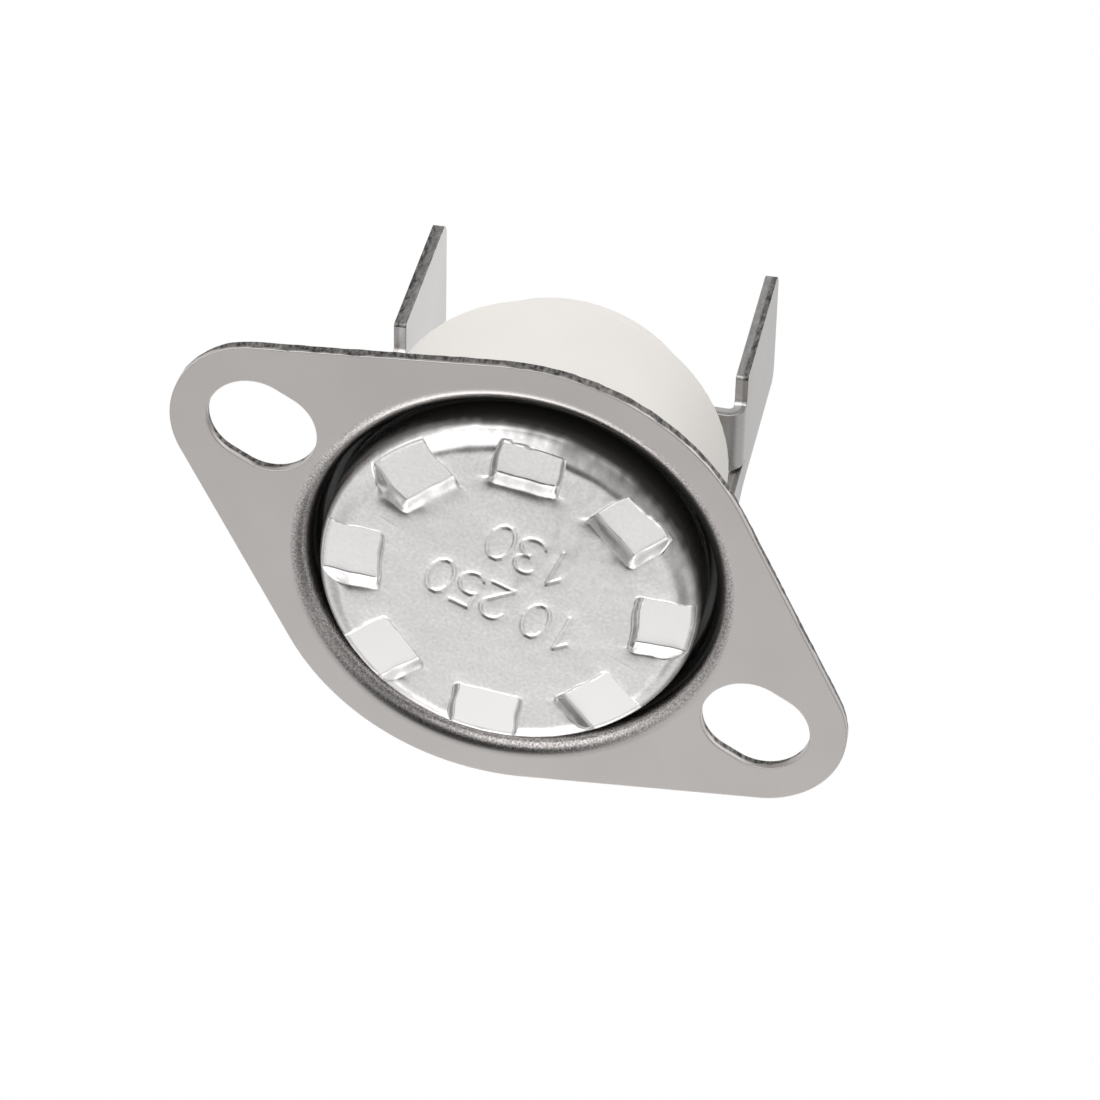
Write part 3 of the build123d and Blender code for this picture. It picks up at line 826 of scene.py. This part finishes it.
def grid_faces(cells):
    """Quads of a disc grid, whose normals point down, and the numbers of its rim, anticlockwise."""
    side = cells + 1
    numbers = np.arange(side * side).reshape(side, side)
    corners = (numbers[:-1, :-1], numbers[:-1, 1:], numbers[1:, 1:], numbers[1:, :-1])
    rim = (numbers[:-1, 0], numbers[-1, :-1], numbers[:0:-1, -1], numbers[0, :0:-1])
    return np.stack(corners, axis=2).reshape(-1, 4), np.concatenate(rim)


def fan_faces(fine, coarse):
    """Triangles from a closed row of points to one with a quarter as many.

    Every fourth fine point faces a coarse one. The first two steps fan out from the coarse point before
    them, the last two from the one after, and one triangle closes the two fans.
    """
    steps = [np.roll(fine, -step)[::4] for step in range(5)]
    after = np.roll(coarse, -1)
    fans = [(steps[0], steps[1], coarse), (steps[1], steps[2], coarse), (coarse, steps[2], after)]
    fans += [(steps[2], steps[3], after), (steps[3], steps[4], after)]
    return np.concatenate([np.column_stack(fan) for fan in fans])


class SWITCH_OT_sensing_cap(Operator):
    """Build the drawn sensing cap with its pressed pockets and stamped numbers"""

    bl_idname = "switch.sensing_cap"
    bl_label = "Sensing cap"

    def execute(self, context):
        sizes = context.scene.switch_cap
        finish = context.scene.switch_finish
        radius, lip_top, wall, rim_radius = CAP_HIGH.x, CAP_HIGH.z, sizes.wall, sizes.rim_radius
        rows = [(text, sizes.number_height, np.array(middle) * MM) for text, middle in STAMPED_ROWS]
        strokes = np.concatenate([digit_strokes(*row, STAMP_TURN) for row in rows])
        cells, coarse, round_share = 240, 60, 0.6
        flat = disc_grid(cells, radius - (1 - round_share) * rim_radius)
        height, pressed, askew = face_height(flat, sizes, strokes)
        face, ring = grid_faces(cells)
        angles = np.arctan2(flat[ring, 1], flat[ring, 0])
        over = rim_radius * np.sin(np.linspace(math.asin(round_share), math.pi / 2, 8)[1:])
        rim = lathe(np.column_stack((radius - rim_radius + over, over)), angles)
        rim_face, _, _ = face_height(rim[:, :, :2].reshape(-1, 2), sizes, strokes)
        rim[:, :, 2] = rim_face.reshape(len(over), -1)
        corners = [
            (radius, rim_radius + 0.05 * MM, 0),
            (radius, lip_top, wall),
            (sizes.lip_hole, lip_top, 0.05 * MM),
            (sizes.lip_hole, lip_top - wall, 0.05 * MM),
            (radius - wall, lip_top - wall, 0.03 * MM),
            (radius - wall, wall + (rim_radius - wall) / 2, 0),
        ]
        shell, _ = rounded_path(corners, 0.5 * MM, closed=False, facet=20)
        rows = np.concatenate((rim, lathe(shell, angles)))
        base, columns = len(flat), len(ring)
        first = base + np.arange(columns)
        joint = np.column_stack((ring, np.roll(ring, -1), np.roll(first, -1), first))
        inner_flat = disc_grid(coarse, radius - wall - 0.15 * MM)
        inner_face, inner_ring = grid_faces(coarse)
        inner_base = base + len(rows) * columns
        fan = fan_faces(first + (len(rows) - 1) * columns, inner_base + inner_ring)
        inner = np.column_stack((inner_flat, inner_face_height(inner_flat, sizes)))
        points = np.concatenate((np.column_stack((flat, height)), rows.reshape(-1, 3), inner))
        coined = np.zeros(len(points))
        # Pocket floors take the lighter colour, more of it towards one side: partly painted light
        coined[:base] = pressed * (0.35 + 0.65 * facing_share(flat, LIT_FLOOR_SIDE))
        # Painted shade: the cap's wall darkens from low in the gap up to just under the lip, from lower down
        # towards one side, and so do the middles of the pockets' walls except where they lean
        low = (1.35 - 1.45 * facing_share(points, SHADED_SIDE)) * MM
        low += 0.06 * MM * hash_noise(points, 0.5 * MM, 14)
        high = lip_top - 0.4 * MM
        painted_shade = smooth_step((points[:, 2] - low) / (0.85 * MM))
        painted_shade *= smooth_step((high - points[:, 2]) / (0.2 * MM))
        painted_shade[:base] = painted_shade[:base] * (1 - pressed) + 1.2 * pressed * (1 - pressed) * (1 - askew)
        painted_shade[inner_base:] = 0
        points[:, 2] += CAP_LOW.z
        belt = band_faces(len(rows), columns, base)
        faces = [face, joint, belt, fan, inner_base + inner_face[:, ::-1]]
        piece = make_piece("cap_shell", points, faces, {"pressed": coined, "painted_shade": painted_shade})
        material = stamped_aluminium("stamped_aluminium", finish.aluminium, finish.coined)
        dress(piece, "switch_body", material, "sensing_cap")
        return {"FINISHED"}


class SWITCH_OT_ceramics(Operator):
    """Finish the ceramic body, the guide plate and the push pin"""

    bl_idname = "switch.ceramics"
    bl_label = "Ceramics"

    def execute(self, context):
        material = steatite("fired_steatite", context.scene.switch_finish.ceramic)
        for name in ("ceramic_body", "guide_plate", "push_pin"):
            finish_node(name, material)
        return {"FINISHED"}


def terminal_pattern(sizes, eye, folds, shoulder, foot, tip):
    """Corners (s, t, radius) of a terminal's flat pattern, anticlockwise from the tip of its blade.

    s is the length along the strip from the switch's axis. The waist is where the neck's side meets the
    tangent that leaves the eye's circle at 60 degrees.
    """
    half_blade, half_neck = sizes.blade_width / 2, sizes.neck_width / 2
    leg_side = half_neck + sizes.leg_gap
    quarter, leave, fillet = math.pi / 2, math.radians(60), 0.25 * MM
    first = (leave + quarter) / 2
    angles = (first, math.radians(135), math.radians(225), 2 * math.pi - first)
    reaches = [sizes.eye_radius / math.cos(half) for half in ((quarter - leave) / 2, math.pi / 4)]
    step_back = (sizes.eye_radius * math.sin(leave) - half_neck) / math.tan(quarter - leave)
    waist = eye + sizes.eye_radius * math.cos(leave) + step_back
    pattern = [(tip, -half_blade, sizes.tip_corner), (tip, half_blade, sizes.tip_corner)]
    pattern += [(shoulder, half_blade, 0.3 * MM), (foot, half_blade + sizes.leg_flare, 0.15 * MM)]
    pattern += [(foot, leg_side, 0.15 * MM), (shoulder, leg_side, 0.03 * MM)]
    pattern += [(shoulder, half_neck, 0.03 * MM)]
    pattern += [(fold, half_neck, 0) for fold in folds[::-1]]
    pattern += [(waist, half_neck, fillet)]
    pattern += [
        (eye + reach * math.cos(angle), reach * math.sin(angle), sizes.eye_radius)
        for reach, angle in zip((*reaches, *reaches[::-1]), angles)
    ]
    pattern += [(waist, -half_neck, fillet)]
    pattern += [(fold, -half_neck, 0) for fold in folds]
    return pattern + [(shoulder, -half_neck, 0.2 * MM), (shoulder, -half_blade, 0.15 * MM)]


def folded_terminal(flat, leg, seat, bend_start, bend_radius, thickness):
    """Carries flat strip points (s, t, n) round the neck's right-angle bend.

    Up to the bend s runs out level, in it the turn is the length past its start over the radius of the
    middle of the sheet, and past it s runs straight up. n is the height over the lower face, which
    becomes the outer one. The points of the leg, beside the neck, stay upright.
    """
    neutral = bend_radius + thickness / 2
    bend_end = bend_start + neutral * math.pi / 2
    turn = np.where(leg, math.pi / 2, np.clip((flat[:, 0] - bend_start) / neutral, 0, math.pi / 2))
    reach = bend_radius + thickness - flat[:, 2]
    level = np.where(leg, bend_start, np.minimum(flat[:, 0], bend_start))
    beyond = np.where(leg, flat[:, 0] - bend_end, np.maximum(flat[:, 0] - bend_end, 0))
    x = level + reach * np.sin(turn)
    z = seat + thickness + bend_radius - reach * np.cos(turn) + beyond
    return np.column_stack((x, flat[:, 1], z))


class SWITCH_OT_terminals(Operator):
    """Build the two blade terminals: eye, bent neck, leg, shoulder and blade, from one flat pattern"""

    bl_idname = "switch.terminals"
    bl_label = "Terminals"

    def execute(self, context):
        sizes = context.scene.switch_terminal
        finish = context.scene.switch_finish
        thickness, half_neck = sizes.thickness, sizes.neck_width / 2
        seat = RIVET_HIGH.z - sizes.rivet_head - thickness
        line = RIVET_PLACE.normalized()
        shift = line.cross(BLADE_PLACE)
        bend_start = line @ BLADE_PLACE - thickness / 2 - sizes.neck_bend
        bend_end = bend_start + (sizes.neck_bend + thickness / 2) * math.pi / 2
        rise_start = seat + thickness + sizes.neck_bend
        shoulder = bend_end + sizes.shoulder_rise
        tip, foot = (bend_end + height - rise_start for height in (BLADE_HIGH.z, BLADE_LOW.z))
        eye = RIVET_PLACE.length
        folds = np.linspace(bend_start, bend_end, 13)
        spacing = 0.16 * MM
        round_radius, lead = 0.03 * MM, 0.02 * MM
        outline = rounded_path(terminal_pattern(sizes, eye, folds, shoulder, foot, tip), spacing)
        hole_radius = sizes.rivet_radius + 0.05 * MM
        corners = [(eye + x * hole_radius, y * hole_radius, hole_radius) for x, y in SQUARE]
        hole, outward = rounded_path(corners, spacing)
        bands, heights = edge_bands([outline, (hole, -outward)], thickness, round_radius, lead)
        rim = bands[0][0, :, :2]
        half_fill = half_neck - round_radius - lead
        spots = [[(fold, side * half_fill) for side in (-1, 1)] for fold in folds]
        cuts = [tuple(int(np.linalg.norm(rim - spot, axis=1).argmin()) for spot in pair) for pair in spots]
        points, _, faces = make_sheet(bands, cuts)
        length, across, through = points.T
        gap = sizes.leg_gap
        leg = (length > foot - gap) & (length < bend_end) & (across > half_neck + gap / 2)
        folded = folded_terminal(points, leg, seat, bend_start, sizes.neck_bend, thickness)
        beside = np.where(leg, 1, smooth_step((length - eye) / (bend_start - eye)))
        rows = np.repeat(np.arange(len(heights)), len(rim))
        sheared = np.zeros(len(points))
        on_edge = (rows > 2) & (rows < len(heights) - 3)
        sheared[: len(rows)] = on_edge & (length[: len(rows)] > shoulder)
        outer_third = smooth_step((0.42 * thickness - through) / (0.1 * thickness))
        drawn = 0.35 * ((length > bend_start) & (length < shoulder + 0.1 * MM))
        back = (through > thickness / 2).astype(float)
        # The face towards the body gets the lit colour and the outer face the shaded one: painted light
        colours = (finish.blade_outside_shaded, finish.blade_inside_lit, finish.sheared)
        material = nickel_sheet("nickel_plated_strip", *colours, 0.07 * MM)
        cosine, sine = math.cos(TERMINAL_ANGLE), math.sin(TERMINAL_ANGLE)
        spin = np.array(((cosine, sine), (-sine, cosine)))
        for name, node_name, hand, torn in (
            ("blade_right", "terminal_plate_side", 1, 0.55 + 0.45 * outer_third),
            ("blade_left", "terminal_arm_side", -1, 0.8 + 0.2 * outer_third),
        ):
            placed = np.column_stack((folded[:, 0] * hand, folded[:, 1] + hand * shift * beside))
            placed = np.column_stack((placed @ spin, folded[:, 2]))
            turned = [part[:, ::hand] for part in faces]
            piece = make_piece(name, placed, turned, {"drawn": drawn, "edge": sheared * torn, "back": back})
            dress(piece, "switch_body", material, node_name)
        return {"FINISHED"}


# Scales of the grain, which is stretched along Y on rolled metal and along Z on turned metal
ROLLED, TURNED_INSIDE, TURNED = (1.0, 0.08, 1.0), (1.0, 1.0, 0.1), (1.0, 1.0, 0.3)


class SWITCH_OT_rivets(Operator):
    """Build the two rivets: a rolled head outside, the shank and a flat head inside"""

    bl_idname = "switch.rivets"
    bl_label = "Rivets"

    def execute(self, context):
        sizes = context.scene.switch_terminal
        colour = context.scene.switch_finish.rivet
        material = rolled_metal("nickel_plated_brass", colour, 0.3, 0.08 * MM, TURNED)
        columns = 72
        around = np.arange(columns)
        ahead = np.roll(around, -1)
        for name, node_name, low, high in (
            ("rivet_head_right", "rivet_plate_side", RIVET_LOW, RIVET_HIGH),
            ("rivet_head_left", "rivet_arm_side", ARM_RIVET_LOW, ARM_RIVET_HIGH),
        ):
            head = (high.x - low.x) / 2
            seat, top = high.z - sizes.rivet_head, high.z
            inner_seat, dimple = low.z + 0.5 * MM, top - 0.4 * MM
            corners = [
                (0, low.z, 0),
                (head, low.z, 0.2 * MM),
                (head, inner_seat, 0.05 * MM),
                (sizes.rivet_radius, inner_seat, 0.03 * MM),
                (sizes.rivet_radius, seat, 0.03 * MM),
                (head, seat, 0.08 * MM),
                (head, top, 0.32 * MM),
                (0.5 * MM, top, 0.14 * MM),
                (0.42 * MM, dimple, 0.1 * MM),
                (0, dimple, 0),
            ]
            profile, _ = rounded_path(corners, 0.12 * MM, closed=False)
            rows = lathe(profile[1:-1], full_turn(columns))
            points = np.concatenate((rows.reshape(-1, 3), [(0, 0, profile[0, 1]), (0, 0, profile[-1, 1])]))
            points[:, :2] += ((low + high) / 2).to_2d()
            count = len(rows) * columns
            bottom = np.column_stack((ahead, around, np.full(columns, count)))
            last = count - columns
            lid = np.column_stack((last + around, last + ahead, np.full(columns, count + 1)))
            piece = make_piece(name, points, [band_faces(len(rows), columns), bottom, lid])
            dress(piece, "switch_body", material, node_name)
        return {"FINISHED"}


INSIDE_FINISHES = (
    ("rolled_bimetal", "#9A9691", 0.35, 0.06, ROLLED, ("bimetal_disc",)),
    ("beryllium_copper_strip", "#D9A06B", 0.3, 0.05, ROLLED, ("contact_arm",)),
    ("rolled_brass", "#D8B560", 0.32, 0.06, ROLLED, ("fixed_plate",)),
    ("silver_nickel", "#E4E2DE", 0.25, 0.04, TURNED_INSIDE, ("moving_contact", "fixed_contact")),
    ("plated_brass_washer", "#C8C3B6", 0.33, 0.06, TURNED_INSIDE, ("arm_washer",)),
)


class SWITCH_OT_inside(Operator):
    """Finish the disc, the arm, the fixed plate, the contacts and the washer"""

    bl_idname = "switch.inside"
    bl_label = "Inside pieces"

    def execute(self, context):
        for name, colour, roughness, grain, stretch, node_names in INSIDE_FINISHES:
            material = rolled_metal(name, linear(colour), roughness, grain * MM, stretch)
            for node_name in node_names:
                finish_node(node_name, material)
        return {"FINISHED"}


# Each card or flag has its direction, the angles in degrees of its core and its reach, and its level
LIGHT_FIELD = {
    "below_flag": ((0.02, 0.08, -1.0), 13, 27, 0.06),
    "left_card": ((-0.66, -0.3, -0.69), 20, 40, 2.1),
    "arc_card": ((0.34, 0.82, -0.46), 8, 15, 2.9),
    "back_strip": ((0.42, 0.9, 0.08), 8, 20, 2.2),
    "right_flag": ((0.74, 0.26, -0.61), 12, 24, 0.37),
    "far_flag": ((-0.3, 0.86, -0.42), 10, 24, 0.6),
    "front_flag": ((0.47, -0.55, -0.69), 14, 32, 0.5),
    "wall_card": ((0.18, -0.97, -0.12), 14, 28, 1.7),
    "punch_flag": ((0.72, -0.67, 0.17), 20, 36, 0.12),
    "edge_flag": ((-0.42, -0.45, 0.79), 10, 28, 0.55),
}


def studio_world(scene, level):
    """Even white air with soft cards and flags round the switch, which metal mirrors.

    Each card or flag is a round patch about one direction. Inside its core it multiplies the air by its
    level, and past its reach it has no effect. The camera sees plain white everywhere.
    """
    scene.world = bpy.data.worlds.new("studio_air")
    tree = empty_tree(scene.world)
    place = node(tree, "ShaderNodeTexCoord").outputs["Generated"]
    field = None
    for way, core, reach, patch_level in LIGHT_FIELD.values():
        way = Vector(way).normalized()
        aim = node(tree, "ShaderNodeVectorMath", (place, way), operation="DOT_PRODUCT")
        outer, inner = (math.cos(math.radians(angle)) for angle in (reach, core))
        limits = (outer, inner, 1.0, patch_level)
        patch = node(tree, MAP_RANGE, (aim, *limits), interpolation_type="SMOOTHSTEP")
        field = node(tree, MATH, (field, patch), operation="MULTIPLY") if field else patch
    path = node(tree, "ShaderNodeLightPath").outputs
    mirrored = node(tree, MATH, (path["Is Glossy Ray"], path["Is Transmission Ray"]), operation="MAXIMUM")
    shown = node(tree, MAP_RANGE, (mirrored, 0.0, 1.0, level, field))
    strength = node(tree, MAP_RANGE, (path["Is Camera Ray"], 0.0, 1.0, shown, 1.0))
    air = node(tree, "ShaderNodeBackground", {"Color": opaque(linear("#FFFFFF")), "Strength": strength})
    node(tree, "ShaderNodeOutputWorld", {"Surface": air})


def softbox(name, way, distance, width, height, radiance):
    """A rectangular lamp at a distance along a direction, turned to the switch.

    Its power is radiance * pi * area, so that its face shines at that radiance.
    """
    light = bpy.data.lights.new(name, "AREA")
    light.shape = "RECTANGLE"
    light.size = width
    light.size_y = height
    light.energy = radiance * math.pi * width * height
    lamp = bpy.data.objects.new(name, light)
    bpy.context.scene.collection.objects.link(lamp)
    direction = Vector(way).normalized()
    lamp.location = direction * distance + Vector((0, 0, 8 * MM))
    lamp.rotation_euler = direction.to_track_quat("Z", "Y").to_euler()
    lamp.visible_camera = False


def floor_finish():
    """Matt pale card that only the camera sees, and only from above.

    From below it is clear, because the switch is looked at from under the plane on which it rests.
    """
    material = bpy.data.materials.new("pale_card")
    tree = empty_tree(material)
    from_below = node(tree, "ShaderNodeNewGeometry").outputs["Backfacing"]
    above = node(tree, MATH, (1.0, from_below), operation="SUBTRACT")
    camera_ray = node(tree, "ShaderNodeLightPath").outputs["Is Camera Ray"]
    seen = node(tree, MATH, (camera_ray, above), operation="MULTIPLY")
    clear = node(tree, "ShaderNodeBsdfTransparent")
    card = node(tree, "ShaderNodeBsdfDiffuse", {"Color": opaque(linear("#EDEBE8"))})
    mixed = node(tree, "ShaderNodeMixShader", (seen, clear, card))
    node(tree, "ShaderNodeOutputMaterial", {"Surface": mixed})
    return material


def place_camera(scene, studio):
    """The camera at its place, looking along its forward direction with its upper side up."""
    camera_data = bpy.data.cameras.new("camera")
    camera_data.sensor_width = 36.0
    camera_data.lens = studio.lens
    camera_data.clip_start = 1 * MM
    camera = bpy.data.objects.new("camera", camera_data)
    scene.collection.objects.link(camera)
    backward = -Vector(studio.camera_forward).normalized()
    right = Vector(studio.camera_up).cross(backward).normalized()
    turn = Matrix((right, backward.cross(right), backward)).transposed().to_4x4()
    camera.matrix_world = Matrix.Translation(studio.camera_place) @ turn
    scene.camera = camera


class SWITCH_OT_stage(Operator):
    """Set the floor, the light and the camera"""

    bl_idname = "switch.stage"
    bl_label = "Stage"

    def execute(self, context):
        scene = context.scene
        scene.view_settings.view_transform = "Standard"
        studio_world(scene, scene.switch_studio.fill_level)
        softbox("front_softbox", (-0.62, -0.78, 0.02), 0.4, 0.42, 0.2, 3.1)
        softbox("back_softbox", (0.42, 0.86, 0.38), 0.4, 0.16, 0.22, 2.2)
        softbox("top_softbox", (0.35, -0.35, 0.87), 0.45, 0.3, 0.3, 0.9)
        reach, drop = 1.2, 0.05 * MM
        corners = [(x * reach, y * reach, -drop) for x, y in SQUARE]
        floor = make_piece("floor", corners, [np.array([(0, 1, 2, 3)])], flat_parts=1)
        floor.data.materials.append(floor_finish())
        place_camera(scene, scene.switch_studio)
        return {"FINISHED"}


class SWITCH_PT_parts(Panel):
    """Lists the builders in the sidebar."""

    bl_label = "Snap disc switch"
    bl_idname = "SWITCH_PT_parts"
    bl_space_type = "VIEW_3D"
    bl_region_type = "UI"
    bl_category = "Switch"

    def draw(self, context):
        for operator in OPERATORS:
            self.layout.operator(operator.bl_idname)


GROUPS = {
    "switch_bracket": SWITCH_PG_bracket,
    "switch_cap": SWITCH_PG_cap,
    "switch_terminal": SWITCH_PG_terminal,
    "switch_finish": SWITCH_PG_finish,
    "switch_studio": SWITCH_PG_studio,
}
OPERATORS = (
    SWITCH_OT_bracket,
    SWITCH_OT_sensing_cap,
    SWITCH_OT_ceramics,
    SWITCH_OT_terminals,
    SWITCH_OT_rivets,
    SWITCH_OT_inside,
    SWITCH_OT_stage,
)


def register():
    """Registers the groups, the operators and the panel, and hangs the groups on the scene."""
    for name, group in GROUPS.items():
        bpy.utils.register_class(group)
        setattr(bpy.types.Scene, name, PointerProperty(type=group))
    for operator in OPERATORS:
        bpy.utils.register_class(operator)
    bpy.utils.register_class(SWITCH_PT_parts)


def unregister():
    """Takes back what register did, in the opposite order."""
    bpy.utils.unregister_class(SWITCH_PT_parts)
    for operator in reversed(OPERATORS):
        bpy.utils.unregister_class(operator)
    for name, group in reversed(GROUPS.items()):
        delattr(bpy.types.Scene, name)
        bpy.utils.unregister_class(group)


def main():
    register()
    bpy.ops.switch.bracket()
    bpy.ops.switch.sensing_cap()
    bpy.ops.switch.ceramics()
    bpy.ops.switch.terminals()
    bpy.ops.switch.rivets()
    bpy.ops.switch.inside()
    bpy.ops.switch.stage()


if __name__ == "__main__":
    main()
